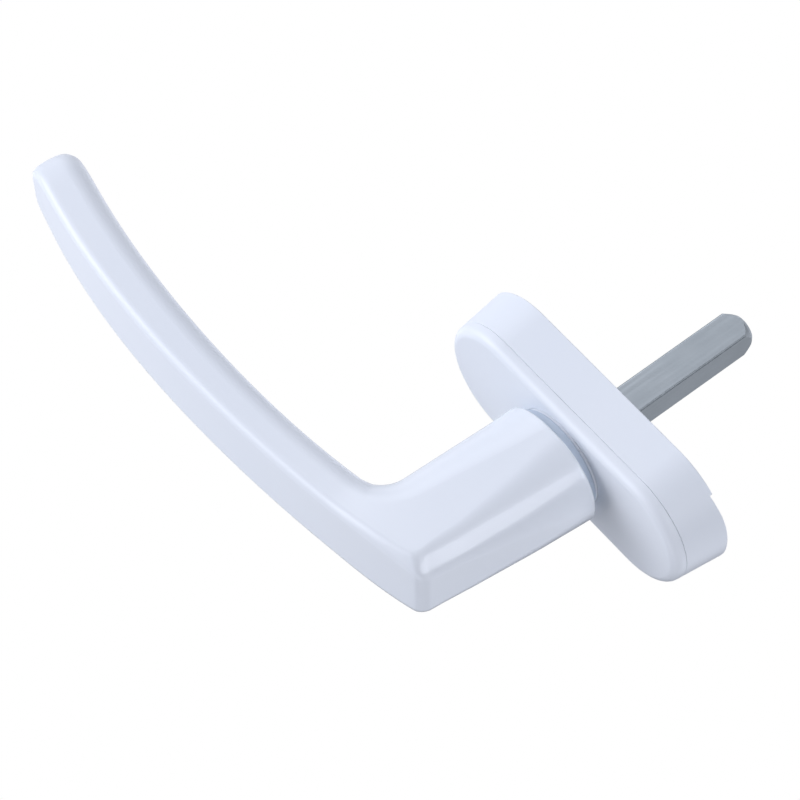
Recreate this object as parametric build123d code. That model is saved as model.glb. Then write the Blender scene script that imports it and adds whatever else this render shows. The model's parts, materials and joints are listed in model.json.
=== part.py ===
from build123d import *
from dataclasses import dataclass
import math
import os

os.makedirs("parts", exist_ok=True)

# Tilt turn window handle in the closed position, millimetres.
# Origin: spindle axis in the mounting plane (back of the rosette).
# +Y runs into the window along the spindle, -Y into the room, +Z up.
# The lever hangs down (-Z).  "Front" is the room side, "back" the window side.
# A "depth" (names in _Y) is a distance from the mounting plane into the room, so y = -depth.

FIT = 0.02             # radial clearance between mating parts

# rosette
ROS_HL = 34.2          # half length of the back outline
ROS_HW = 14.7          # half width of the back outline (full radius ends)
ROS_T = 11.8           # depth of base housing plus cover
ROS_DRAFT = 1.45       # inset of the wall over the full depth
SEAM_Y = 9.15          # parting plane between base housing and cover
SEAM_GAP = 0.05
SEAM_CHAMFER = 0.06
BACK_CHAMFER = 0.2
COVER_WALL = 1.2
COVER_PLATE = 1.2
COVER_EDGE_R = 1.9
COVER_HOLE_R = 10.8
HUB_R = 10.7
HUB_Y = 12.2
SPIGOT_R = 12.25
SPIGOT_Y = 10.5
SCREW_Z = 43.0 / 2     # half the pitch of the mounting screws
SCREW_HOLE_R = 2.6
SCREW_CSK_R = 4.9
PLATE_T = 1.5
PLATE_HL = 30.8
PLATE_HW = 11.3
PLATE_BORE_R = 8.7
PLATE_GAP = 0.1        # around the backing plate
PLATE_SCREW_X, PLATE_SCREW_Z = 7.2, 14.8
PLATE_SCREW_R = 1.24

# turning parts
NECK_Y = 14.0          # rosette end of the lever neck
SHANK_R = 7.5
SHANK_STEP_Y = 7.55
TAIL_R = 6.0
TAIL_FLAT = 5.3        # half width across the flats
TAIL_Y = 0.4
BUSH_IN_R = SHANK_R + 0.05
BUSH_OUT_R = 9.2
BUSH_BACK_Y = 7.6
CAVITY_R = 9.0
NECK_RING_R = 11.0
NECK_RING_GAP = 0.05
RING_R = 8.5           # detent ring
RING_FRONT_Y, RING_BACK_Y = 7.5, 3.5
RETAINER_R = 7.3
RETAINER_FRONT_Y, RETAINER_BACK_Y = 1.9, 1.1
GROOVE_R = 5.5         # floor of the retaining ring groove
GROOVE_GAP = 0.05
PIN_R = 1.25
PIN_Y = 5.4

# detent balls and springs
BALL_R = 2.0
BALL_Y = 5.4
BALL_LIFT = 0.58
BALL_Z = RING_R + BALL_R + 0.03        # ball centre when it rides on the rim
NOTCH_R = BALL_R + 0.05
POCKET_R = BALL_R + 0.06
POCKET_START, POCKET_END = 6.0, 17.4
SPRING_MEAN_R = 1.6
SPRING_WIRE_R = 0.25
SPRING_TURNS = 5

# spindle
SQUARE = 7.0           # across the flats
SPINDLE_OUT = 34.0     # length beyond the mounting plane
SPINDLE_IN = 26.0      # length inside the neck
SPINDLE_EDGE_R = 0.45
SPINDLE_TIP = 2.1
SOCKET_GAP = 0.1       # extra width of the square socket
SOCKET_EXTRA = 0.2     # extra length of the square socket

# Lever profile in its plane of symmetry, as points (y, reach): y is negative,
# reach is the distance from the spindle axis towards the tip, so z = -reach.
# Neck: depth, distance of the outer side above the axis, of the inner side below it.
NECK_DEPTHS = [14, 20, 26, 32, 38, 42, 46, 50]
NECK_OUTER = [12.95, 12.2, 11.3, 10.3, 9.35, 8.7, 8.1, 7.5]
NECK_INNER = [12.7, 12.75, 12.8, 12.95, 13.1, 13.2, 13.3, 13.4]
NECK_TAPER = 0.15      # slope of the outer side beyond the last depth
# Grip: coefficients, in rising powers of (reach - 55) / 65.
GRIP_MID, GRIP_SPAN = 55.0, 65.0
GRIP_OUT = [-58.572, -1.219, 6.8585, 1.5783, 1.3114]     # y of the outer face
GRIP_IN = [-49.044, -0.114, 8.5185, -0.8081, 1.8891]     # y of the inner face
GRIP_HW = [8.9695, 0.2968, -0.404, -1.2176]              # half width
BEND_IN_R = 6.0
BEND_OUT_R = 3.0
NECK_HW0, NECK_HW1 = 11.9, 10.0

# Corner radii of the sections: fractions of the part's length, radii there.
NECK_OUTER_R = ([0, 0.45, 1], [11.5, 8.5, 5.0])
NECK_INNER_R = ([0, 0.5, 1], [11.5, 9.5, 7.5])
BEND_OUTER_R = ([0, 0.5, 1], [5.0, 2.5, 1.7])
BEND_INNER_R = ([0, 1], [7.5, 5.5])
GRIP_OUTER_R = ([0, 1], [1.7, 1.4])
GRIP_INNER_R = ([0, 1], [5.5, 4.5])
GRIP_BLEND = 20        # length over which the grip radii change

# Where the loft sections stand.
NECK_END_INSET = 0.5
NECK_SECTION_DEPTHS = [14.5, 17.5, 21, 25, 29, 33, 37]
BEND_FRACTIONS = [0, .06, .11, .15, .18, .20, .22, .24, .26, .28, .30, .32, .34, .36,
                  .385, .42, .47, .54, .62, .72, .86, 1]
GRIP_SECTIONS = 12
TIP_ANGLES = [12, 22, 31, 39, 46, 53, 59, 65, 70, 75, 79, 83]

# End of the grip.
TIP_REACH = 115.52                 # very end
TIP_PLAN, TIP_POWER = 9.17, 1.81   # rounding seen from the front: length, roundness
TIP_OUT = (3.2, 3.46)              # rounding at the outer face: length, depth
TIP_IN = (3.5, 2.26)               # rounding at the inner face: length, depth
TIP_LEAN = 0.173                   # the outer edge of the end is a little shorter
LEAN_START = 98
BULGE, BULGE_REACH, BULGE_WIDTH = 0.43, 114.2, 5.0   # thickening near the end


# ------------------------------------------------------------- lever profile
def grip_value(coefficients, reach):
    x = (reach - GRIP_MID) / GRIP_SPAN
    return sum(k * x ** i for i, k in enumerate(coefficients))


def interpolate(x, xs, ys):
    """linear interpolation, held constant beyond both ends"""
    if x <= xs[0]:
        return ys[0]
    for i in range(len(xs) - 1):
        if x <= xs[i + 1]:
            part = (x - xs[i]) / (xs[i + 1] - xs[i])
            return ys[i] + part * (ys[i + 1] - ys[i])
    return ys[-1]


def neck_outer(depth):
    if depth > NECK_DEPTHS[-1]:
        return NECK_OUTER[-1] - (depth - NECK_DEPTHS[-1]) * NECK_TAPER
    return interpolate(depth, NECK_DEPTHS, NECK_OUTER)


def neck_inner(depth):
    return interpolate(depth, NECK_DEPTHS, NECK_INNER)


def inner_bend():
    """centre of the inner bend, and the reach where it meets the grip"""
    centre_y = -40.0
    for _ in range(40):
        centre_reach = neck_inner(-centre_y) + BEND_IN_R
        distance, grip_reach = min(
            (math.hypot(grip_value(GRIP_IN, reach) - centre_y, reach - centre_reach), reach)
            for reach in [5 + 0.02 * i for i in range(1500)])
        centre_y += BEND_IN_R - distance
    return centre_y, centre_reach, grip_reach


def offset_points(points, distance):
    moved = []
    for i, (y, reach) in enumerate(points):
        before, after = points[max(i - 1, 0)], points[min(i + 1, len(points) - 1)]
        dy, dr = after[0] - before[0], after[1] - before[1]
        length = math.hypot(dy, dr)
        moved.append((y + distance * dr / length, reach - distance * dy / length))
    return moved


def outer_profile():
    """outer side of neck and grip, joined by an arc about the crossing of their offsets"""
    depths = [NECK_Y + 0.05 * i for i in range(900)]
    neck = [(-depth, -neck_outer(depth)) for depth in depths]
    reaches = [-16 + 0.05 * i for i in range(2820)]
    grip = [(grip_value(GRIP_OUT, reach), reach) for reach in reaches]
    neck_off, grip_off = offset_points(neck, BEND_OUT_R), offset_points(grip, BEND_OUT_R)
    _, i, j = min(
        ((neck_off[i][0] - grip_off[j][0]) ** 2 + (neck_off[i][1] - grip_off[j][1]) ** 2, i, j)
        for i in range(500, len(neck_off), 2) for j in range(0, 500, 2))
    centre_y = (neck_off[i][0] + grip_off[j][0]) / 2
    centre_reach = (neck_off[i][1] + grip_off[j][1]) / 2
    start, end = (math.atan2(reach - centre_reach, y - centre_y) % (2 * math.pi)
                  for y, reach in (neck[i], grip[j]))
    angles = [start + (end - start) * k / 24 for k in range(25)]
    arc = [(centre_y + BEND_OUT_R * math.cos(angle), centre_reach + BEND_OUT_R * math.sin(angle))
           for angle in angles]
    return neck[:i] + arc + grip[j + 1:]


BEND_Y, BEND_REACH, GRIP_START = inner_bend()
OUTER_PROFILE = outer_profile()


# ------------------------------------------------------------ lever sections
@dataclass
class Section:
    inner: tuple           # (y, reach) of the middle of the inner face
    outward: tuple         # unit vector from the inner to the outer face
    thickness: float
    half_width: float
    outer_r: float
    inner_r: float
    side_draw: float = 0.0     # how far each side draws in
    outer_draw: float = 0.0
    inner_draw: float = 0.0
    lean: float = 0.0


def thickness_at(inner, outward):
    """distance from the inner point to the outer profile"""
    dy, dr = outward
    local = [(-(y - inner[0]) * dr + (reach - inner[1]) * dy,
              (y - inner[0]) * dy + (reach - inner[1]) * dr) for y, reach in OUTER_PROFILE]
    crossings = []
    for (side_a, along_a), (side_b, along_b) in zip(local, local[1:]):
        if (side_a < 0) != (side_b < 0):
            crossings.append(along_a + side_a / (side_a - side_b) * (along_b - along_a))
    return min(along for along in crossings if along > 0)


def make_section(inner, direction, half_width, outer_r, inner_r):
    length = math.hypot(*direction)
    outward = (direction[0] / length, direction[1] / length)
    thickness = thickness_at(inner, outward)
    max_r = min(half_width, thickness / 2) - 0.05
    return Section(inner, outward, thickness, half_width,
                   min(outer_r, max_r), min(inner_r, max_r))


def section_wire(section, inset=0.0):
    """closed outline of four lines and four corner arcs, starting with the outer face"""
    half_width = section.half_width - inset - section.side_draw
    top = section.thickness - inset - section.outer_draw
    bottom = inset + section.inner_draw
    max_r = min(half_width, (top - bottom) / 2) - 0.05
    outer_r = min(max(section.outer_r - inset, 0.6) + 0.5 * section.outer_draw, max_r)
    inner_r = min(max(section.inner_r - inset, 0.6), max_r)
    dy, dr = section.outward

    def place(x, out):
        shift = -section.lean * (out - section.thickness / 2)   # towards the tip
        return (x, section.inner[0] + dy * out + dr * shift,
                -(section.inner[1] + dr * out - dy * shift))

    def corner(across, through):
        """three arc points at the corner on side +-1 of x and of the thickness"""
        radius, face = (outer_r, top) if through > 0 else (inner_r, bottom)
        x, out = across * (half_width - radius), face - through * radius
        diagonal = radius * math.sqrt(0.5)
        points = [place(x, face),
                  place(x + across * diagonal, out + through * diagonal),
                  place(across * half_width, out)]
        return points if across == through else points[::-1]

    corners = [corner(1, 1), corner(1, -1), corner(-1, -1), corner(-1, 1)]
    edges = []
    for previous, current in zip(corners[-1:] + corners, corners):
        edges.append(Edge.make_line(previous[-1], current[0]))
        edges.append(Edge.make_three_point_arc(*current))
    return Wire(edges)


def neck_section(depth):
    part = (NECK_Y - depth) / (BEND_Y + NECK_Y)
    return make_section((-depth, neck_inner(depth)), (0, -1),
                        NECK_HW0 + (NECK_HW1 - NECK_HW0) * part,
                        interpolate(part, *NECK_OUTER_R), interpolate(part, *NECK_INNER_R))


def bend_section(part):
    """section fanned about the centre of the inner bend"""
    start = -math.pi / 2
    end = math.atan2(GRIP_START - BEND_REACH, grip_value(GRIP_IN, GRIP_START) - BEND_Y)
    if end > 0:
        end -= 2 * math.pi
    angle = start + (end - start) * part
    dy, dr = math.cos(angle), math.sin(angle)
    half_width = NECK_HW1 + (grip_value(GRIP_HW, GRIP_START) - NECK_HW1) * part
    return make_section((BEND_Y + BEND_IN_R * dy, BEND_REACH + BEND_IN_R * dr), (dy, dr),
                        half_width, interpolate(part, *BEND_OUTER_R),
                        interpolate(part, *BEND_INNER_R))


def end_draw(from_end, length, depth, power=2.0):
    """how far a side of the section draws in at a distance from the end"""
    u = max((length - from_end) / length, 0)
    return depth * (1 - (1 - u ** power) ** (1 / power))


def grip_section(reach):
    step = 1e-3
    rise = grip_value(GRIP_IN, reach + step) - grip_value(GRIP_IN, reach - step)
    part = (reach - GRIP_START) / GRIP_BLEND
    section = make_section((grip_value(GRIP_IN, reach), reach), (-2 * step, rise),
                           grip_value(GRIP_HW, reach),
                           interpolate(part, *GRIP_OUTER_R), interpolate(part, *GRIP_INNER_R))
    section.thickness += BULGE * math.exp(-((reach - BULGE_REACH) / BULGE_WIDTH) ** 2)
    from_end = TIP_REACH - reach
    section.side_draw = end_draw(from_end, TIP_PLAN, section.half_width, TIP_POWER)
    section.outer_draw = end_draw(from_end, *TIP_OUT)
    section.inner_draw = end_draw(from_end, *TIP_IN)
    section.lean = TIP_LEAN * max((reach - LEAN_START) / (TIP_REACH - LEAN_START), 0) ** 2
    return section


# ------------------------------------------------------------- shape helpers
def y_cyl(radius, depth_a, depth_b, x=0.0, z=0.0):
    """cylinder along Y between two depths"""
    middle = Pos(x, -(depth_a + depth_b) / 2, z)
    return middle * Rot(90, 0, 0) * Cylinder(radius, abs(depth_a - depth_b))


def y_bore(radius, x=0.0, z=0.0):
    """cutter along Y through everything"""
    return y_cyl(radius, 20, -20, x, z)


def y_cone(back_r, front_r, mid_depth, length, x, z):
    return Pos(x, -mid_depth, z) * Rot(90, 0, 0) * Cone(back_r, front_r, length)


def cross_pin(radius, length):
    return Pos(0, -PIN_Y, 0) * Rot(0, 90, 0) * Cylinder(radius, length)


def stadium(half_length, half_width, depth):
    plane = Plane(origin=(0, -depth, 0), x_dir=(0, 0, 1), z_dir=(0, 1, 0))
    return plane * SlotOverall(2 * half_length, 2 * half_width)


def prism(half_length, half_width, depth_a, depth_b):
    return loft([stadium(half_length, half_width, depth) for depth in (depth_a, depth_b)])


def wall_inset(depth):
    return ROS_DRAFT * depth / ROS_T


def drafted(depth_a, depth_b):
    """slice of the tapering rosette body"""
    return loft([stadium(ROS_HL - wall_inset(depth), ROS_HW - wall_inset(depth), depth)
                 for depth in (depth_a, depth_b)])


def edges_at(shape, depth):
    return shape.edges().filter_by(lambda e: abs(e.center().Y + depth) < 0.01)


def circles(shape):
    return shape.edges().filter_by(GeomType.CIRCLE)


# --------------------------------------------------------- lever and spindle
def make_lever():
    neck = [section_wire(neck_section(NECK_Y), NECK_END_INSET)]
    neck += [section_wire(neck_section(depth)) for depth in NECK_SECTION_DEPTHS]
    bend = [section_wire(bend_section(part)) for part in BEND_FRACTIONS]
    grip_length = TIP_REACH - TIP_PLAN - GRIP_START
    grip = [section_wire(grip_section(GRIP_START + grip_length * k / GRIP_SECTIONS))
            for k in range(1, GRIP_SECTIONS + 1)]
    end = [section_wire(grip_section(TIP_REACH - TIP_PLAN * (1 - math.sin(math.radians(angle)))))
           for angle in TIP_ANGLES]
    neck_end = Solid.make_loft(neck[:2])
    body = Solid.make_loft(neck[1:] + bend + grip)
    tip = Solid.make_loft([grip[-1]] + end, True)
    lever = neck_end + body + tip

    lever = lever + y_cyl(SHANK_R, NECK_Y + 2, SHANK_STEP_Y)
    tail = y_cyl(TAIL_R, SHANK_STEP_Y + 1, TAIL_Y)
    tail = tail & Pos(0, -4, 0) * Box(2 * TAIL_FLAT, 12, 20)
    lever = lever + tail
    groove = (RETAINER_FRONT_Y + GROOVE_GAP, RETAINER_BACK_Y - GROOVE_GAP)
    lever = lever - (y_cyl(TAIL_R + 1, *groove) - y_cyl(GROOVE_R, *groove))
    width, length = SQUARE + SOCKET_GAP, SPINDLE_IN + SOCKET_EXTRA
    lever = lever - Pos(0, -length / 2, 0) * Box(width, length, width)
    return lever - cross_pin(PIN_R + FIT, 20)


def make_spindle():
    square = Rectangle(SQUARE, SQUARE)
    square = fillet(square.vertices(), SPINDLE_EDGE_R)
    start = Plane(origin=(0, -SPINDLE_IN, 0), x_dir=(1, 0, 0), z_dir=(0, 1, 0))
    bar = extrude(start * square, SPINDLE_IN + SPINDLE_OUT)
    # turned nose: the bar is cut back to a cone with a small flat end
    nose = Polyline((0, -SPINDLE_IN - 1), (6, -SPINDLE_IN - 1),
                    (6, SPINDLE_OUT - SPINDLE_TIP - 2.2), (4.6, SPINDLE_OUT - SPINDLE_TIP),
                    (3.6, SPINDLE_OUT - 0.7), (2.95, SPINDLE_OUT), (0, SPINDLE_OUT), close=True)
    return (bar & revolve(make_face(nose), Axis.Y)) - cross_pin(PIN_R + FIT, 20)


def make_spindle_pin():
    return chamfer(cross_pin(PIN_R, 10.3).edges(), 0.2)


# ------------------------------------------------------- parts on the shank
def make_neck_ring():
    ring = y_cyl(NECK_RING_R, NECK_Y - NECK_RING_GAP, HUB_Y + NECK_RING_GAP)
    ring = ring - y_bore(SHANK_R + FIT)
    return chamfer(circles(ring).filter_by(lambda e: e.radius > 10), 0.25)


def make_detent_ring():
    """ring on the flats of the tail, with a ball notch every quarter turn"""
    ring = y_cyl(RING_R, RING_FRONT_Y, RING_BACK_Y)
    ring = ring - (y_bore(TAIL_R + FIT) & Box(2 * (TAIL_FLAT + FIT), 60, 20))
    notch_centre = RING_R + BALL_R - BALL_LIFT
    for quarter in range(4):
        angle = quarter * math.pi / 2
        ring = ring - y_bore(NOTCH_R, notch_centre * math.sin(angle),
                             notch_centre * math.cos(angle))
    return ring


def make_disc_spring():
    outline = Polyline((6.3, -3.4), (8.3, -3.02), (8.3, -2.66), (6.3, -3.04), close=True)
    return revolve(make_face(outline), Axis.Y)


def make_thrust_washer():
    return y_cyl(8.4, 2.6, 2.0) - y_bore(TAIL_R + 0.1)


def make_retaining_ring():
    """ring open at the bottom, with a drilled lug at each side of the gap"""
    ring = y_cyl(RETAINER_R, RETAINER_FRONT_Y, RETAINER_BACK_Y) - y_bore(GROOVE_R + FIT)
    ring = ring - Pos(0, -1.5, -7) * Box(5.6, 4, 8)
    for side in (-1, 1):
        lug = y_cyl(1.1, RETAINER_FRONT_Y, RETAINER_BACK_Y, side * 3.75, -6.25)
        ring = ring + lug - y_bore(0.5, side * 3.8, -6.35)
    return ring - y_bore(GROOVE_R + FIT)


# -------------------------------------------------------------------- rosette
def make_base_housing():
    base = drafted(0, SEAM_Y)
    base = chamfer(edges_at(base, SEAM_Y), SEAM_CHAMFER)
    base = chamfer(edges_at(base, 0), BACK_CHAMFER)
    base = base + y_cyl(SPIGOT_R, SEAM_Y - 1, SPIGOT_Y) + y_cyl(HUB_R, SEAM_Y - 1, HUB_Y)
    base = base - prism(PLATE_HL + PLATE_GAP, PLATE_HW + PLATE_GAP, -1, PLATE_T + FIT)
    base = base - y_cyl(BUSH_OUT_R + FIT, 20, BUSH_BACK_Y)
    base = base - y_bore(CAVITY_R)
    sink = SCREW_CSK_R - SCREW_HOLE_R
    for side in (-1, 1):
        z = side * SCREW_Z
        base = base - y_bore(SCREW_HOLE_R, 0, z)
        base = base - y_cone(SCREW_HOLE_R, SCREW_CSK_R, SEAM_Y - sink / 2, sink, 0, z)
        # radial pocket for the detent ball and its spring
        base = base - Pos(0, -BALL_Y, side * (POCKET_END + POCKET_START) / 2) * Cylinder(
            POCKET_R, POCKET_END - POCKET_START)
        # moulded core-out beyond each screw boss
        base = base - Pos(0, -3.9, side * 28.4) * Box(11, 5, 3.4)
        # pilot hole of the small plate screw
        base = base - y_cyl(PLATE_SCREW_R + FIT, 7.0, 0,
                            side * PLATE_SCREW_X, side * PLATE_SCREW_Z)
    # side core-outs beside the mechanism
    for side in (-1, 1):
        base = base - Pos(side * 7.2, -4.4, -side * 15.2) * Box(5.5, 6, 8)
    # shallow pry notch in the back rim at the upper end: a ramp with a step at one side
    notch = Rot(0, -35, 0) * Pos(0, 0.66, 14) * Rot(0, 0, 5) * Box(7.6, 2, 5)
    return base - Pos(0, 0, ROS_HL - ROS_HW) * notch


def make_backing_plate():
    plate = prism(PLATE_HL, PLATE_HW, 0, PLATE_T) - y_bore(PLATE_BORE_R)
    for side in (-1, 1):
        plate = plate - y_bore(SCREW_HOLE_R, 0, side * SCREW_Z)
        x, z = side * PLATE_SCREW_X, side * PLATE_SCREW_Z
        plate = plate - y_bore(1.4, x, z)
        plate = plate - y_cone(2.55, 1.4, 0.55, 1.15, x, z)
    return plate


def make_plate_screw(x, z):
    """countersunk screw with a cross recess in its back end"""
    screw = y_cyl(PLATE_SCREW_R, 6.6, 0.4, x, z) + y_cone(2.4, PLATE_SCREW_R, 0.6, 1.1, x, z)
    cross = Pos(x, -0.3, z) * (Box(2.4, 1.0, 0.5) + Box(0.5, 1.0, 2.4))
    return (screw - cross).solid()


def make_bearing_bush():
    bush = y_cyl(BUSH_OUT_R, HUB_Y, BUSH_BACK_Y) - y_bore(BUSH_IN_R)
    return chamfer(circles(bush).filter_by(lambda e: e.radius < 8), 0.3)


def make_rosette_cover():
    back = SEAM_Y + SEAM_GAP
    cover = drafted(back, ROS_T)
    cover = fillet(edges_at(cover, ROS_T), COVER_EDGE_R)
    cover = chamfer(edges_at(cover, back), SEAM_CHAMFER)
    inset = wall_inset(SEAM_Y) + COVER_WALL
    cover = cover - prism(ROS_HL - inset, ROS_HW - inset, SEAM_Y - 1, ROS_T - COVER_PLATE)
    return cover - y_bore(COVER_HOLE_R)


# ------------------------------------------------------ detent balls, springs
def make_ball(side):
    return Pos(0, -BALL_Y, side * BALL_Z) * Sphere(BALL_R)


def make_spring(turn):
    """coil from the ball to the pocket end, turned about X"""
    start = BALL_Z + math.sqrt((BALL_R + SPRING_WIRE_R) ** 2 - SPRING_MEAN_R ** 2) + 0.03
    length = POCKET_END - SPRING_WIRE_R - 0.05 - start
    helix = Helix(pitch=length / SPRING_TURNS, height=length, radius=SPRING_MEAN_R)
    wire = Plane(origin=helix @ 0, z_dir=helix % 0) * Circle(SPRING_WIRE_R)
    coil = sweep(wire, path=helix)
    return Pos(0, -BALL_Y, 0) * Rot(turn, 0, 0) * Pos(0, 0, start) * coil


nodes = {
    "lever": make_lever(),
    "spindle": make_spindle(),
    "spindle_pin": make_spindle_pin(),
    "neck_ring": make_neck_ring(),
    "detent_ring": make_detent_ring(),
    "disc_spring": make_disc_spring(),
    "thrust_washer": make_thrust_washer(),
    "retaining_ring": make_retaining_ring(),
    "base_housing": make_base_housing(),
    "backing_plate": make_backing_plate(),
    "plate_screws": Compound(children=[
        make_plate_screw(side * PLATE_SCREW_X, side * PLATE_SCREW_Z) for side in (-1, 1)]),
    "bearing_bush": make_bearing_bush(),
    "rosette_cover": make_rosette_cover(),
    "detent_ball_upper": make_ball(1),
    "detent_ball_lower": make_ball(-1),
    "detent_spring_upper": make_spring(0),
    "detent_spring_lower": make_spring(180),
}
for name, shape in nodes.items():
    export_step(shape, f"parts/{name}.step")
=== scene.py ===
# A lever handle on its rosette. The lever is rebuilt here as one closed mesh; the other pieces
# keep their CAD meshes and get materials.
# The lever's shank lies on the Y axis, its neck runs on towards -Y, bends at the elbow, and the
# grip runs down towards -Z. X is the width. The inner face of the grip looks towards +Y, the
# outer face towards -Y.
# The lever is worked out in millimetres. Its side view uses points (y, drop), with drop = -Z.
import json
import math
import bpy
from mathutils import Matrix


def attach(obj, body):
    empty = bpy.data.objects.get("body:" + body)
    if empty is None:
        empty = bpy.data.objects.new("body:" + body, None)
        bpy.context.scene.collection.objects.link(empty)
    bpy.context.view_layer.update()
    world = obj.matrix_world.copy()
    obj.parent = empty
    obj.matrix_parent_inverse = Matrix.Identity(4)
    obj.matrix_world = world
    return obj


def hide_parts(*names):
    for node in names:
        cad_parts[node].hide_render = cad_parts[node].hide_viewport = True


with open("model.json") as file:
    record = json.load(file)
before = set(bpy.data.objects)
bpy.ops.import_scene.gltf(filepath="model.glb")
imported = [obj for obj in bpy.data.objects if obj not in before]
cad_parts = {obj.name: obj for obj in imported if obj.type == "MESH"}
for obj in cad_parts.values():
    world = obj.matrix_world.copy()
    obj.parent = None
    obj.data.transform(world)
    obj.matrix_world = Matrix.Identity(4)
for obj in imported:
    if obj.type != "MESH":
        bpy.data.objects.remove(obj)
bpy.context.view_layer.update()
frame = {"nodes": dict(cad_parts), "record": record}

from types import SimpleNamespace

import bmesh
import bpy
import numpy as np
from mathutils import Matrix, Vector

MM = 0.001
QUARTER = math.pi / 2

# =====================================================================
# lever dimensions
# =====================================================================
# side view of the neck: drop as a polynomial in (-y - 32) / 18, lowest power first
NECK_OUTER = [10.3281, -2.9498, -0.0940, 0.2266]    # height above the axis of the top (+Z) face
NECK_INNER = [12.9473, 0.3658, 0.1056, 0.0]         # drop of the lower (-Z) face
# grip: polynomials in (drop - 55) / 65, lowest power first
GRIP_OUTER = [-58.572, -1.219, 6.8585, 1.5783, 1.3114]    # y of the outer face
GRIP_INNER = [-49.044, -0.114, 8.5185, -0.8081, 1.8891]   # y of the inner face
GRIP_HALF_WIDTH = [8.9695, 0.2968, -0.404, -1.2176]

NECK_START = -14.0                  # y where the neck begins
NECK_RINGS_FROM = -14.55            # y the neck's rings start beyond, clear of its rounded edge
BEND_INNER_R, BEND_OUTER_R = 6.0, 3.0
FAN_LENGTH = 21.0                   # length given to the elbow along the path

TIP_DROP = 115.48                   # very end of the grip
TIP_START = 98.0                    # drop where the end starts to lean, and to be stretched
TIP_REACH, TIP_POWER = 9.18, 1.877  # rounding of the sides: length along the grip, roundness
TIP_OUTER = dict(reach=3.39, depth=4.325, power=1.693)    # rounding at the outer face
TIP_INNER = dict(reach=4.03, depth=2.57)                  # rounding at the inner face
TIP_LEAN = 0.170                    # slope of the end, which makes its outer edge shorter
SWELL, SWELL_DROP, SWELL_SPREAD = 0.537, 113.9, 4.28      # extra thickness near the end
SOFT_STEPS, SOFT_FROM, SOFT_TRAVEL = 14, 105.0, 6.0       # smoothing passes and their drops

# points on each part of half a section
OUTER_POINTS, SIDE_STEPS, INNER_CORNER_STEPS, INNER_STEPS = 10, 12, 9, 8
BAND_ANGLE = 42.0                   # direction the nearly flat band faces, degrees from the side
BAND_HALF_ANGLE, BAND_FADE = 4.3, 0.35
ARC_STEP = 0.25                     # degrees between samples of the outer corner
# normal directions of the outer corner's points, degrees from the side
CORNER_ANGLES = [90, 82, 73, 64, 57, 52, 48.5, 46.5, 44.5, 42,
                 39.5, 37.5, 35.5, 32, 27, 20, 13, 6, 0]

# square socket in the shank: (half width, distance along -Y), from its blind end outwards
SOCKET = [(3.55, 26.2), (3.55, 14.0), (3.55, 0.75), (3.85, 0.4)]
# round shank, its groove and collar: (radius, distance along -Y, half distance across flats)
FLAT, NO_FLAT = 5.3, math.inf
COLLAR_R = 7.5
SHANK = [
    (5.6, 0.4, FLAT), (6.0, 0.7, FLAT), (6.0, 1.05, FLAT), (5.5, 1.05, NO_FLAT),
    (5.5, 1.95, NO_FLAT), (6.0, 1.95, FLAT), (6.0, 7.55, FLAT), (COLLAR_R - 0.3, 7.55, NO_FLAT),
    (COLLAR_R, 7.85, NO_FLAT), (COLLAR_R, 13.98, NO_FLAT), (COLLAR_R, 13.999, NO_FLAT),
]
NECK_EDGE_R, NECK_EDGE_STEPS = 0.5, 5


# =====================================================================
# lever side view
# =====================================================================
def polynomial(coeffs, x):
    return sum(c * x ** i for i, c in enumerate(coeffs))


def on_grip(coeffs, drop):
    return polynomial(coeffs, (np.asarray(drop, float) - 55.0) / 65.0)


def on_neck(coeffs, y):
    return polynomial(coeffs, (-np.asarray(y, float) - 32.0) / 18.0)


def smooth_curve(points):
    """shape-keeping cubic through (x, value) points, held level beyond both ends"""
    xs, ys = np.array(points, float).T
    gap = np.diff(xs)
    rise = np.diff(ys) / gap
    slope = np.zeros_like(ys)
    slope[0], slope[-1] = rise[0], rise[-1]
    for i in range(1, len(xs) - 1):
        if rise[i - 1] * rise[i] > 0:
            w1, w2 = 2 * gap[i] + gap[i - 1], gap[i] + 2 * gap[i - 1]
            slope[i] = (w1 + w2) / (w1 / rise[i - 1] + w2 / rise[i])

    def value(x):
        x = min(max(float(x), xs[0]), xs[-1])
        i = min(int(np.searchsorted(xs, x, side="right")) - 1, len(xs) - 2)
        t = (x - xs[i]) / gap[i]
        return float((2 * t ** 3 - 3 * t ** 2 + 1) * ys[i]
                     + (t ** 3 - 2 * t ** 2 + t) * gap[i] * slope[i]
                     + (-2 * t ** 3 + 3 * t ** 2) * ys[i + 1]
                     + (t ** 3 - t ** 2) * gap[i] * slope[i + 1])
    return value


def inner_bend():
    """centre (y, drop) of the inner bend, touching neck and grip, and the drop where it meets
    the grip"""
    drops = np.linspace(5, 35, 3001)
    ys = on_grip(GRIP_INNER, drops)
    y = -40.0
    for _ in range(60):
        drop = float(on_neck(NECK_INNER, y)) + BEND_INNER_R
        distance = np.hypot(ys - y, drops - drop)
        nearest = int(distance.argmin())
        y += BEND_INNER_R - distance[nearest]
    return y, drop, float(drops[nearest])


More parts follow.
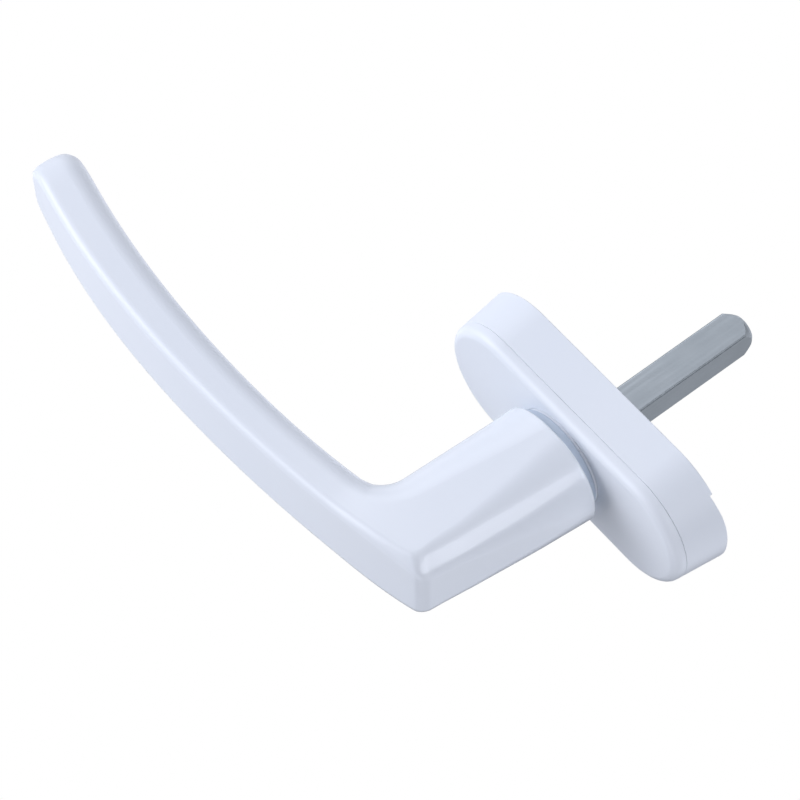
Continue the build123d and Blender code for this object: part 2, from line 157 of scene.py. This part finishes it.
def outer_profile():
    """outer line of neck, rounded elbow and grip, and the centre of the elbow's arc"""
    neck_y = np.linspace(-14, -60, 2301)
    neck = np.c_[neck_y, -on_neck(NECK_OUTER, neck_y)]
    grip_drop = np.linspace(-16, 125, 7051)
    grip = np.c_[on_grip(GRIP_OUTER, grip_drop), grip_drop]

    def offset_inward(line):
        tangent = np.gradient(line, axis=0)
        tangent /= np.linalg.norm(tangent, axis=1)[:, None]
        return line + np.c_[tangent[:, 1], -tangent[:, 0]] * BEND_OUTER_R

    # the arc's centre is where the two inward offsets meet
    neck_offset = offset_inward(neck)
    grip_offset = offset_inward(grip)[:1500]
    gaps = ((neck_offset[:, None, :] - grip_offset[None, :, :]) ** 2).sum(-1)
    i, j = np.unravel_index(gaps.argmin(), gaps.shape)
    centre = (neck_offset[i] + grip_offset[j]) / 2

    def angle_of(point):
        return math.atan2(point[1] - centre[1], point[0] - centre[0]) % (2 * math.pi)
    theta = np.linspace(angle_of(neck[i]), angle_of(grip[j]), 60)
    arc = np.c_[centre[0] + BEND_OUTER_R * np.cos(theta), centre[1] + BEND_OUTER_R * np.sin(theta)]
    return np.vstack([neck[:i], arc, grip[j + 1:]]), centre


BEND_Y, BEND_DROP, GRIP_START = inner_bend()
OUTER_LINE, ELBOW_CENTRE = outer_profile()


def thickness(inner, across):
    """distance from an inner point along the direction across to the outer line"""
    offset = OUTER_LINE - inner
    side = -offset[:, 0] * across[1] + offset[:, 1] * across[0]
    ahead = offset @ across
    crossings = np.where((side[:-1] < 0) != (side[1:] < 0))[0]
    n = min((k for k in crossings if ahead[k] > 0), key=lambda k: ahead[k])
    f = side[n] / (side[n] - side[n + 1])
    return float(ahead[n] + f * (ahead[n + 1] - ahead[n]))


# =====================================================================
# section sizes along the lever's path: neck, elbow fan, grip
# =====================================================================
NECK_LENGTH = NECK_START - BEND_Y
GRIP_PATH = NECK_LENGTH + FAN_LENGTH          # path value where the grip begins
PATH_END = GRIP_PATH + (TIP_DROP - GRIP_START)

# the elbow's sections fan out from the bend centre, from the neck's angle to the grip's
FAN_FROM = -QUARTER
FAN_TO = math.atan2(GRIP_START - BEND_DROP, float(on_grip(GRIP_INNER, GRIP_START)) - BEND_Y)
if FAN_TO > 0:
    FAN_TO -= 2 * math.pi
ELBOW_ANGLE = math.atan2(ELBOW_CENTRE[1] - BEND_DROP, ELBOW_CENTRE[0] - BEND_Y)
ELBOW_FRACTION = (ELBOW_ANGLE - FAN_FROM) / (FAN_TO - FAN_FROM)
ELBOW_PATH = NECK_LENGTH + FAN_LENGTH * ELBOW_FRACTION    # the elbow's outer corner

half_width_at = smooth_curve(
    [(0, 11.9), (NECK_LENGTH * 0.5, 10.95), (NECK_LENGTH, 10.0),
     (NECK_LENGTH + FAN_LENGTH * 0.5, 9.45)]
    + [(GRIP_PATH + drop - GRIP_START, float(on_grip(GRIP_HALF_WIDTH, drop)))
       for drop in np.arange(GRIP_START, 118, 8.0)])
# radius of the corners at the outer face
outer_radius_at = smooth_curve([
    (0, 11.6), (6, 10.3), (12, 8.7), (20, 6.9), (NECK_LENGTH, 5.6), (ELBOW_PATH, 4.6),
    (ELBOW_PATH + 2.5, 3.2), (ELBOW_PATH + 6, 2.4), (ELBOW_PATH + 11, 2.0),
    (GRIP_PATH + 6, 1.85), (68, 1.75), (PATH_END, 1.75)])
# width of the nearly flat band on those corners
band_width_at = smooth_curve([
    (0, 0.3), (4.4, 0.6), (9, 1.2), (13.6, 1.75), (18, 2.1), (22.5, 2.35), (NECK_LENGTH, 2.5),
    (ELBOW_PATH, 2.5), (ELBOW_PATH + 2.5, 0.9), (ELBOW_PATH + 5, 0.0), (PATH_END, 0.0)])
# radius of the corners at the inner face
inner_radius_at = smooth_curve([
    (0, 11.6), (6, 10.8), (13, 9.6), (NECK_LENGTH, 7.6), (36, 6.5), (GRIP_PATH, 5.6),
    (67, 4.6), (PATH_END, 4.5)])


def station(inner, across, path):
    """one section: its inner point (y, drop), the unit direction to the outer face, its sizes"""
    inner = np.array(inner, float)
    across = np.array(across, float)
    across /= np.linalg.norm(across)
    thick = thickness(inner, across)
    half_width = half_width_at(path)
    limit = min(half_width, thick / 2) - 0.03
    return SimpleNamespace(
        inner=inner, across=across, thick=thick, half_width=half_width,
        outer_r=min(outer_radius_at(path), limit), inner_r=min(inner_radius_at(path), limit),
        band=band_width_at(path), draw_side=0.0, draw_outer=0.0, draw_inner=0.0, lean=0.0)


def drawn_in(to_end, reach, depth, power=2.0):
    """how far a side draws in at a distance to_end from the very end"""
    u = max((reach - to_end) / reach, 0.0)
    return depth * (1 - (1 - u ** power) ** (1 / power)) if u > 0 else 0.0


def grip_station(drop):
    step = 1e-3
    change = float(on_grip(GRIP_INNER, drop + step) - on_grip(GRIP_INNER, drop - step))
    s = station((float(on_grip(GRIP_INNER, drop)), drop), (-2 * step, change),
                GRIP_PATH + drop - GRIP_START)
    s.thick += SWELL * math.exp(-((drop - SWELL_DROP) / SWELL_SPREAD) ** 2)
    to_end = TIP_DROP - drop
    s.draw_side = drawn_in(to_end, TIP_REACH, s.half_width, TIP_POWER)
    s.draw_outer = drawn_in(to_end, **TIP_OUTER)
    s.draw_inner = drawn_in(to_end, **TIP_INNER)
    s.lean = TIP_LEAN * max((drop - TIP_START) / (TIP_DROP - TIP_START), 0.0) ** 2
    return s


def stations():
    neck = [station((y, float(on_neck(NECK_INNER, y))), (0, -1), NECK_START - y)
            for y in np.linspace(NECK_START, BEND_Y, 46, endpoint=False)]

    fan = []
    near_elbow = np.clip(ELBOW_FRACTION + np.linspace(-0.16, 0.16, 49), 0, 1)
    for f in np.unique(np.round(np.r_[np.linspace(0, 1, 36), near_elbow], 4)):
        theta = FAN_FROM + (FAN_TO - FAN_FROM) * f
        across = np.array([math.cos(theta), math.sin(theta)])
        fan.append(station(np.array([BEND_Y, BEND_DROP]) + BEND_INNER_R * across, across,
                           NECK_LENGTH + FAN_LENGTH * f))

    body = np.linspace(GRIP_START, TIP_DROP - TIP_REACH, 92, endpoint=False)[1:]
    to_end = TIP_REACH * (1 - np.sin(np.linspace(0, 0.955 * QUARTER, 28)))
    return neck + fan + [grip_station(drop) for drop in np.r_[body, TIP_DROP - to_end]]


# =====================================================================
# lever sections: points (x, depth), depth measured from the inner face
# =====================================================================
def outer_corner(radius, band):
    """outer corner from the outer face to the side, an arc with a nearly flat band in it;
    gives offsets from the sharp corner, and its size in x and in depth"""
    band = min(band, radius * 0.6)
    angle = np.radians(np.linspace(90, 0, 361))
    from_band = np.abs(np.degrees(angle) - BAND_ANGLE)
    weight = 1 / (1 + np.exp((from_band - BAND_HALF_ANGLE) / BAND_FADE))
    rho = radius - 0.706 * band + band * weight / (weight.sum() * math.radians(ARC_STEP))

    def integral(values):
        return np.r_[0, np.cumsum(values[:-1] + values[1:]) * math.radians(ARC_STEP / 2)]
    run = integral(rho * np.sin(angle))
    fall = integral(rho * np.cos(angle))
    picks = [int(round((90 - a) / ARC_STEP)) for a in CORNER_ANGLES]
    return [(run[i] - run[-1], -fall[i]) for i in picks], run[-1], fall[-1]


def section(s, inset=0.0):
    """outline from the middle of the outer face round to the middle of the inner, mirrored"""
    half_width = s.half_width - inset - s.draw_side
    top = s.thick - inset - s.draw_outer
    bottom = inset + s.draw_inner
    limit = min(half_width, (top - bottom) / 2) - 0.02
    outer_r = min(max(s.outer_r - inset * 0.55, 0.55) + 1.2 * s.draw_outer, limit)
    inner_r = min(max(s.inner_r - inset * 0.55, 0.55), limit)
    corner, corner_x, corner_depth = outer_corner(outer_r, s.band)

    points = [((half_width - corner_x) * math.sin(QUARTER * k / OUTER_POINTS), top)
              for k in range(OUTER_POINTS)]
    points += [(half_width + x, top + depth) for x, depth in corner]
    side_from, side_to = top - corner_depth, bottom + inner_r
    for k in range(1, SIDE_STEPS):
        f = 0.5 - 0.5 * math.cos(math.pi * k / SIDE_STEPS)
        points.append((half_width, side_from + (side_to - side_from) * f))
    for k in range(INNER_CORNER_STEPS + 1):
        angle = -QUARTER * k / INNER_CORNER_STEPS
        points.append((half_width - inner_r + inner_r * math.cos(angle),
                       bottom + inner_r + inner_r * math.sin(angle)))
    points += [((half_width - inner_r) * math.cos(QUARTER * k / INNER_STEPS), bottom)
               for k in range(1, INNER_STEPS + 1)]
    return np.array(points + [(-x, depth) for x, depth in points[-2:0:-1]])


def place(s, points, lift=0.0):
    """put section points into space, lifted along the path, with the section's lean"""
    along = np.array([-s.across[1], s.across[0]])
    if along[1] < 0:
        along = -along
    depth = points[:, 1]
    lift = lift - s.lean * (depth - s.thick / 2)
    y = s.inner[0] + s.across[0] * depth + along[0] * lift
    drop = s.inner[1] + s.across[1] * depth + along[1] * lift
    return np.c_[points[:, 0], y, -drop]


# =====================================================================
# lever mesh
# =====================================================================
def shank_rings(first):
    """socket, shank and collar, with points at the same angles as the neck's first section"""
    outline = section(first)
    theta = np.arctan2(outline[:, 1] - first.inner[1], outline[:, 0])
    cos, sin = np.cos(theta), np.sin(theta)

    def circle(radius, distance, flat=NO_FLAT):
        x = np.clip(radius * cos, -flat, flat)
        return np.c_[x, np.full(len(theta), -distance), radius * sin]

    def square(half, distance):
        radius = half / np.maximum(np.abs(cos), np.abs(sin))
        return np.c_[radius * cos, np.full(len(theta), -distance), radius * sin]

    # end face of the neck, with a small rounded edge
    edge = []
    for k in range(NECK_EDGE_STEPS + 1):
        angle = QUARTER * k / NECK_EDGE_STEPS
        ring = place(first, section(first, NECK_EDGE_R * (1 - math.sin(angle))))
        ring[:, 1] -= NECK_EDGE_R * (1 - math.cos(angle))
        edge.append(ring)
    halfway = (edge[0] + circle(COLLAR_R, -NECK_START)) / 2
    return ([square(*row) for row in SOCKET] + [circle(*row) for row in SHANK]
            + [halfway] + edge)


def tip_rings(last):
    """crowned cap over the last section, reaching the very end of the grip"""
    outline = section(last)
    centre = (outline.max(0) + outline.min(0)) / 2
    left = TIP_DROP - last.inner[1]
    return [place(last, centre + (outline - centre) * q, left * (1 - q * q))
            for q in (0.8, 0.6, 0.4, 0.2, 0.06)]


def mesh_object(name, rings):
    """quads between neighbouring rings, closed with a face at both ends"""
    n = len(rings[0])
    verts = [tuple(v * MM) for ring in rings for v in ring]
    faces = []
    for i in range(len(rings) - 1):
        for j in range(n):
            k = (j + 1) % n
            faces.append((i * n + j, i * n + k, (i + 1) * n + k, (i + 1) * n + j))
    faces.append(tuple(range(n))[::-1])
    faces.append(tuple((len(rings) - 1) * n + j for j in range(n)))
    mesh = bpy.data.meshes.new(name)
    mesh.from_pydata(verts, [], faces)
    mesh.validate()
    mesh.update()
    obj = bpy.data.objects.new(name, mesh)
    bpy.context.scene.collection.objects.link(obj)
    bm = bmesh.new()
    bm.from_mesh(mesh)
    bmesh.ops.recalc_face_normals(bm, faces=bm.faces)
    bm.to_mesh(mesh)
    bm.free()
    return obj


def build_lever():
    sections = stations()
    rings = shank_rings(sections[0])
    rings += [place(s, section(s)) for s in sections[1:] if s.inner[0] <= NECK_RINGS_FROM]
    return mesh_object("lever_shell", rings + tip_rings(sections[-1]))


def soften_tip(obj):
    """round the end's corners more with every step towards the end, then restore its length"""
    bm = bmesh.new()
    bm.from_mesh(obj.data)
    end = min(v.co.z for v in bm.verts)
    for k in range(SOFT_STEPS):
        limit = -(SOFT_FROM + SOFT_TRAVEL * k / SOFT_STEPS) * MM
        verts = [v for v in bm.verts if v.co.z < limit]
        bmesh.ops.smooth_vert(bm, verts=verts, factor=0.5,
                              use_axis_x=True, use_axis_y=True, use_axis_z=True)
    start = -TIP_START * MM
    stretch = (end - start) / (min(v.co.z for v in bm.verts) - start)
    for v in bm.verts:
        if v.co.z < start:
            v.co.z = start + (v.co.z - start) * stretch
    bm.to_mesh(obj.data)
    bm.free()


lever = build_lever()
soften_tip(lever)
for face in lever.data.polygons:
    face.use_smooth = True
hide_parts("lever")
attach(lever, "handle")


# =====================================================================
# shader helpers: each adds nodes to a tree, and most return an output socket
# =====================================================================
def feed(tree, node, inputs):
    """give each input its value, or link it to the socket that drives it"""
    for key, source in inputs.items():
        if isinstance(source, bpy.types.NodeSocket):
            tree.links.new(source, node.inputs[key])
        else:
            node.inputs[key].default_value = source


def add_node(tree, kind, inputs=None, **settings):
    node = tree.nodes.new("ShaderNode" + kind)
    for key, value in settings.items():
        setattr(node, key, value)
    feed(tree, node, inputs or {})
    return node


def new_material(name):
    material = bpy.data.materials.new(name)
    material.use_nodes = True
    tree = material.node_tree
    return material, tree, tree.nodes["Principled BSDF"]


def object_coords(tree):
    return add_node(tree, "TexCoord").outputs["Object"]


def noise(tree, scale, detail, roughness=0.5, stretch=None):
    coords = object_coords(tree)
    if stretch:
        mapping = add_node(tree, "Mapping", {"Scale": stretch, "Vector": coords})
        coords = mapping.outputs["Vector"]
    return add_node(tree, "TexNoise", {"Scale": scale, "Detail": detail, "Roughness": roughness,
                                       "Vector": coords}).outputs["Fac"]


def remap(tree, value, span, to):
    """map the range span of value onto the range to"""
    return add_node(tree, "MapRange", {
        "From Min": span[0], "From Max": span[1], "To Min": to[0], "To Max": to[1],
        "Value": value}).outputs["Result"]


def math_node(tree, operation, *inputs):
    return add_node(tree, "Math", dict(enumerate(inputs)), operation=operation).outputs[0]


def mix(tree, factor, first, second):
    return add_node(tree, "Mix", {"A": first, "B": second, "Factor": factor},
                    data_type="RGBA").outputs["Result"]


def bump(tree, height, strength, distance):
    return add_node(tree, "Bump", {"Strength": strength, "Distance": distance,
                                   "Height": height}).outputs["Normal"]


def shade(color, red=1.0, green=1.0, blue=1.0):
    """the colour with each channel scaled, as RGBA"""
    return color[0] * red, color[1] * green, color[2] * blue, 1


def specks(tree, coords, scale, size, strength, chosen):
    """mask of small dots in a few cells: size is where a dot starts and ends to fade,
    chosen the range of random cell values over which dots appear"""
    cells = add_node(tree, "TexVoronoi", {"Scale": scale, "Vector": coords})
    dots = remap(tree, cells.outputs["Distance"], span=size, to=(strength, 0))
    random = add_node(tree, "SeparateColor", {"Color": cells.outputs["Color"]}).outputs["Red"]
    return math_node(tree, "MULTIPLY", dots, remap(tree, random, span=chosen, to=(0, 1)))


def camera_split(tree, output_kind, others, camera):
    """camera rays see one shader, all other rays the other"""
    is_camera = add_node(tree, "LightPath").outputs["Is Camera Ray"]
    split = add_node(tree, "MixShader", {"Fac": is_camera, 1: others, 2: camera})
    add_node(tree, output_kind, {"Surface": split.outputs["Shader"]})


# =====================================================================
# materials
# =====================================================================
def edge_wear(tree):
    """grainy mask where the surface turns sharply"""
    rounded = add_node(tree, "Bevel", {"Radius": 0.0006}, samples=4)
    geometry = add_node(tree, "NewGeometry")
    turn = add_node(tree, "VectorMath", {0: rounded.outputs["Normal"],
                                         1: geometry.outputs["Normal"]},
                    operation="DOT_PRODUCT").outputs["Value"]
    edge = remap(tree, turn, span=(0.80, 0.985), to=(1, 0))
    grain = remap(tree, noise(tree, scale=420, detail=3), span=(0.5, 0.68), to=(0, 0.35))
    return math_node(tree, "MULTIPLY", edge, grain)


def coat(name, color, roughness, peel, gloss, gloss_roughness, worn=None):
    """white coat: faint orange peel, slight tone drift, dull edges, sparse specks;
    worn makes the gloss duller over a range of z, in metres, up to a given roughness"""
    material, tree, bsdf = new_material(name)
    drift = noise(tree, scale=22, detail=2)
    base = mix(tree, remap(tree, drift, span=(0.35, 0.7), to=(0, 1)),
               shade(color), shade(color, 0.975, 0.982, 0.99))
    base = mix(tree, edge_wear(tree), base, shade(color, 0.86, 0.87, 0.88))
    coords = object_coords(tree)
    dust = specks(tree, coords, scale=140, size=(0.012, 0.03), strength=0.35,
                  chosen=(0.93, 0.95))
    base = mix(tree, dust, base, (0.42, 0.45, 0.48, 1))
    orange_peel = noise(tree, scale=900, detail=2, roughness=0.45)
    feed(tree, bsdf, {
        "Base Color": base,
        "Roughness": remap(tree, drift, span=(0.3, 0.7),
                           to=(roughness * 0.9, roughness * 1.15)),
        "Normal": bump(tree, orange_peel, strength=peel, distance=0.0002),
        "Specular IOR Level": 0.3,
        "Coat Weight": gloss,
        "Coat Roughness": gloss_roughness,
    })
    if worn:
        height = add_node(tree, "SeparateXYZ", {"Vector": coords}).outputs["Z"]
        dulled = remap(tree, height, span=worn["z"], to=(gloss_roughness, worn["roughness"]))
        rubbed = remap(tree, noise(tree, scale=55, detail=3), span=(0.3, 0.7), to=(0.88, 1.12))
        feed(tree, bsdf, {
            "Coat Roughness": math_node(tree, "MULTIPLY", dulled, rubbed),
            "Coat Weight": remap(tree, height, span=worn["z"], to=(gloss, gloss * 0.45)),
        })
    return material


def add_painted_edge_shade_and_nicks(tree, base, start, strength):
    """paint a dark reflection, painted shade, on the rounded edges where the bar's X and Z flats
    meet, and add bright nicks
    """
    normal = add_node(tree, "TexCoord").outputs["Normal"]
    parts = add_node(tree, "SeparateXYZ", {"Vector": normal}).outputs
    size_x, size_z, size_y = (math_node(tree, "ABSOLUTE", parts[axis]) for axis in "XZY")
    between = math_node(tree, "MINIMUM", size_x, size_z)
    edge = remap(tree, between, span=(start, start + 0.22), to=(0, strength))
    away_from_ends = remap(tree, size_y, span=(0.1, 0.3), to=(1, 0.35))
    edge = math_node(tree, "MULTIPLY", edge, away_from_ends)
    ragged = remap(tree, noise(tree, scale=900, detail=3), span=(0.25, 0.5), to=(0.6, 1))
    # painted shade: the edge mask mixes the colour towards near black, a painted dark reflection
    base = mix(tree, math_node(tree, "MULTIPLY", edge, ragged), base, (0.05, 0.06, 0.07, 1))
    nicks = specks(tree, object_coords(tree), scale=260, size=(0.03, 0.10), strength=0.8,
                   chosen=(0.955, 0.965))
    return mix(tree, nicks, base, (0.85, 0.87, 0.88, 1))


def metal(name, color, roughness, stretch=(600, 600, 600), relief=0.06, uneven=1.0, painted_edge_shade=None):
    """bare or plated metal: fine streaks, and blotches whose strength is uneven"""
    material, tree, bsdf = new_material(name)
    streaks = noise(tree, scale=1.0, detail=4, roughness=0.6, stretch=stretch)
    blotches = noise(tree, scale=160, detail=4)
    base = mix(tree, remap(tree, blotches, span=(0.35, 0.75), to=(0, uneven)),
               shade(color), shade(color, 0.8, 0.82, 0.83))
    base = mix(tree, remap(tree, streaks, span=(0.55, 0.8), to=(0, 0.5 * uneven)),
               base, shade(color, 1.3, 1.3, 1.3))
    # painted shade: a dark reflection painted along the bar's edges
    if painted_edge_shade:
        base = add_painted_edge_shade_and_nicks(tree, base, **painted_edge_shade)
    feed(tree, bsdf, {
        "Base Color": base,
        "Metallic": 1.0,
        "Roughness": remap(tree, streaks, span=(0.3, 0.7),
                           to=(roughness * 0.8, roughness * 1.25)),
        "Normal": bump(tree, streaks, strength=relief, distance=0.0001),
    })
    return material


def plastic(name, color, roughness):
    material, tree, bsdf = new_material(name)
    fine = noise(tree, scale=1500, detail=2)
    feed(tree, bsdf, {
        "Base Color": mix(tree, noise(tree, scale=120, detail=3),
                          shade(color), shade(color, 0.9, 0.9, 0.9)),
        "Roughness": remap(tree, fine, span=(0.3, 0.7), to=(roughness * 0.9, roughness * 1.1)),
        "Normal": bump(tree, fine, strength=0.05, distance=0.0001),
    })
    return material


WHITE = (0.815, 0.84, 0.875)
SATIN = dict(roughness=0.38, peel=0.03, gloss=0.34, gloss_roughness=0.26)
MATERIALS = {
    "lever_coat": coat("powder_coat_white", WHITE, roughness=0.35, peel=0.02, gloss=0.75,
                       gloss_roughness=0.03, worn=dict(z=(-0.012, -0.030), roughness=0.22)),
    "rosette_white": coat("rosette_white", WHITE, **SATIN),
    "cover_white": coat("cover_white", WHITE, **SATIN),
    # the zinc steel bar carries a painted dark reflection along its edges
    "zinc_steel": metal("zinc_plated_steel", (0.445, 0.478, 0.49), roughness=0.38,
                        stretch=(1500, 60, 1500), relief=0.08, uneven=0.4,
                        painted_edge_shade=dict(start=0.40, strength=0.62)),
    "spring_steel": metal("spring_steel", (0.42, 0.42, 0.43), roughness=0.25),
    "bearing_steel": metal("bearing_steel", (0.72, 0.73, 0.75), roughness=0.08),
    "die_cast_zinc": metal("die_cast_zinc", (0.45, 0.46, 0.48), roughness=0.45),
    "grey_plastic": plastic("grey_plastic", (0.54, 0.61, 0.70), roughness=0.42),
    "natural_nylon": plastic("natural_nylon", (0.80, 0.79, 0.74), roughness=0.4),
}
slots = {part["node"]: part["material_slot"] for part in frame["record"]["subparts"]}
for name, obj in frame["nodes"].items():
    if name != "lever":
        obj.data.materials.clear()
        obj.data.materials.append(MATERIALS[slots[name]])
lever.data.materials.append(MATERIALS["lever_coat"])

# =====================================================================
# floor: white to the camera, clear to all other rays
# =====================================================================
FLOOR_HALF, FLOOR_Z = 40.0, -0.135
WHITE_GLOW = {"Color": (1, 1, 1, 1), "Strength": 1.0}


def build_floor():
    mesh = bpy.data.meshes.new("floor")
    corners = [(-1, -1), (1, -1), (1, 1), (-1, 1)]
    mesh.from_pydata([(x * FLOOR_HALF, y * FLOOR_HALF, FLOOR_Z) for x, y in corners],
                     [], [(0, 1, 2, 3)])
    floor = bpy.data.objects.new("floor", mesh)
    bpy.context.scene.collection.objects.link(floor)
    material, tree, _ = new_material("pale_floor")
    tree.nodes.clear()
    camera_split(tree, "OutputMaterial",
                 others=add_node(tree, "BsdfTransparent").outputs["BSDF"],
                 camera=add_node(tree, "Emission", WHITE_GLOW).outputs["Emission"])
    mesh.materials.append(material)
    return floor


build_floor()

# =====================================================================
# world: soft round lights in all directions
# =====================================================================
LIGHT_TINT = (0.9538, 0.9895, 1.0985)
LOBE_SHARPNESS = 22.0
# direction x, y, z of each light's middle, and its strength
LOBES = [
    (-0.484, -0.717, -0.502, 3.687), (-0.447, -0.526, -0.724, 2.733), (-0.447, 0.000, 0.894, 2.123),
    (0.053, -0.688, -0.724, 2.009), (-0.671, 0.162, 0.724, 1.665), (-0.638, 0.263, -0.724, 1.391),
    (0.484, -0.717, 0.502, 1.386), (-0.162, -0.500, -0.851, 1.333), (0.276, 0.851, 0.447, 1.325),
    (-0.447, 0.851, 0.276, 1.229), (-0.831, 0.239, -0.502, 1.185), (0.362, -0.263, 0.894, 1.160),
    (0.687, 0.682, -0.251, 0.964), (0.447, 0.851, -0.276, 0.930), (0.724, -0.526, -0.447, 0.913),
    (0.671, -0.162, -0.724, 0.829), (-0.162, 0.500, -0.851, 0.824), (0.251, 0.000, 0.968, 0.816),
    (-0.588, 0.809, -0.000, 0.764), (-0.030, -0.864, -0.502, 0.760), (-0.276, -0.851, -0.447, 0.622),
    (0.831, 0.239, 0.502, 0.621), (-0.203, -0.148, 0.968, 0.589), (-0.947, 0.162, 0.276, 0.572),
    (0.638, 0.263, 0.724, 0.530), (0.862, -0.425, 0.276, 0.517), (0.138, 0.425, -0.894, 0.501),
    (-0.809, -0.588, 0.000, 0.495), (0.831, -0.239, 0.502, 0.446), (0.610, 0.443, -0.658, 0.425),
    (0.671, 0.162, -0.724, 0.408), (0.610, -0.443, -0.658, 0.312), (-0.233, -0.717, -0.658, 0.273),
    (0.203, 0.148, -0.968, 0.263), (0.263, 0.809, -0.526, 0.262), (-0.753, 0.000, -0.658, 0.220),
    (0.532, -0.682, -0.502, 0.154), (-0.688, 0.500, -0.526, 0.087), (-0.030, 0.864, -0.502, 0.087),
    (0.053, 0.688, -0.724, 0.082), (-0.671, -0.162, 0.724, 0.074), (-0.447, 0.526, -0.724, 0.054),
    (0.436, 0.864, 0.251, 0.050),
]


def build_world():
    world = bpy.data.worlds.new("studio")
    bpy.context.scene.world = world
    world.use_nodes = True
    tree = world.node_tree
    tree.nodes.clear()
    direction = add_node(tree, "TexCoord").outputs["Generated"]
    total = None
    for x, y, z, power in LOBES:
        facing = add_node(tree, "VectorMath", {0: direction, 1: (x, y, z)},
                          operation="DOT_PRODUCT").outputs["Value"]
        falloff = math_node(tree, "MULTIPLY_ADD", facing, LOBE_SHARPNESS, -LOBE_SHARPNESS)
        glow = math_node(tree, "EXPONENT", falloff)
        lobe = math_node(tree, "MULTIPLY_ADD", glow, power, 0.0)
        if total:
            feed(tree, lobe.node, {2: total})
        total = lobe
    lights = add_node(tree, "Background", {"Color": (*LIGHT_TINT, 1), "Strength": total})
    backdrop = add_node(tree, "Background", WHITE_GLOW)
    camera_split(tree, "OutputWorld", others=lights.outputs["Background"],
                 camera=backdrop.outputs["Background"])


build_world()

# =====================================================================
# long soft box above: the narrow reflection along the neck
# =====================================================================
STRIP_DIR = Vector((-0.495, 0.245, 0.832)).normalized()
STRIP_FROM = Vector((-0.0088, -0.018, 0.0088))     # rosette end of the reflection
STRIP_DISTANCE, STRIP_LENGTH = 0.55, 0.42
STRIP_HALF_ANGLE = 8.3                             # half its width, in degrees as seen from there


def build_strip():
    width_axis = Vector((0.83, 0.0, 0.5))
    width_axis = (width_axis - width_axis.dot(STRIP_DIR) * STRIP_DIR).normalized()
    length_axis = STRIP_DIR.cross(width_axis)
    light = bpy.data.lights.new("strip_box", "AREA")
    light.shape = "RECTANGLE"
    light.size = 2 * STRIP_DISTANCE * math.tan(math.radians(STRIP_HALF_ANGLE))
    light.size_y = STRIP_LENGTH
    light.energy = 0.52
    light.color = LIGHT_TINT
    strip = bpy.data.objects.new("strip_box", light)
    bpy.context.scene.collection.objects.link(strip)
    strip.visible_camera = False
    strip.visible_diffuse = False
    lit = bpy.data.collections.new("strip_lit")    # only the lever is close enough to catch it
    lit.objects.link(lever)
    strip.light_linking.receiver_collection = lit
    centre = (STRIP_FROM + STRIP_DIR * STRIP_DISTANCE
              - length_axis.normalized() * (STRIP_LENGTH / 2))
    turn = Matrix((width_axis, length_axis, STRIP_DIR)).transposed()
    strip.matrix_world = Matrix.Translation(centre) @ turn.to_4x4()


build_strip()

# =====================================================================
# camera and view
# =====================================================================
CAMERA_PLACE = Vector((-0.5721, -0.2458, 0.2593))
CAMERA_RIGHT = Vector((0.0182, 0.7792, 0.6265))
CAMERA_UP = Vector((-0.534, 0.5374, -0.6528))
CAMERA_BACK = Vector((-0.8453, -0.3227, 0.4259))


def build_camera():
    lens = bpy.data.cameras.new("camera")
    lens.sensor_width = 36.0
    lens.lens = 159.36
    lens.clip_start = 0.01
    lens.clip_end = 200.0
    lens.shift_x = -0.0005
    lens.shift_y = 0.0011875
    camera = bpy.data.objects.new("camera", lens)
    bpy.context.scene.collection.objects.link(camera)
    turn = Matrix((CAMERA_RIGHT, CAMERA_UP, CAMERA_BACK)).transposed()
    camera.matrix_world = Matrix.Translation(CAMERA_PLACE) @ turn.to_4x4()
    bpy.context.scene.camera = camera


build_camera()
view = bpy.context.scene.view_settings
view.view_transform = "Standard"
view.look = "None"
view.exposure = 0.0
view.gamma = 1.0
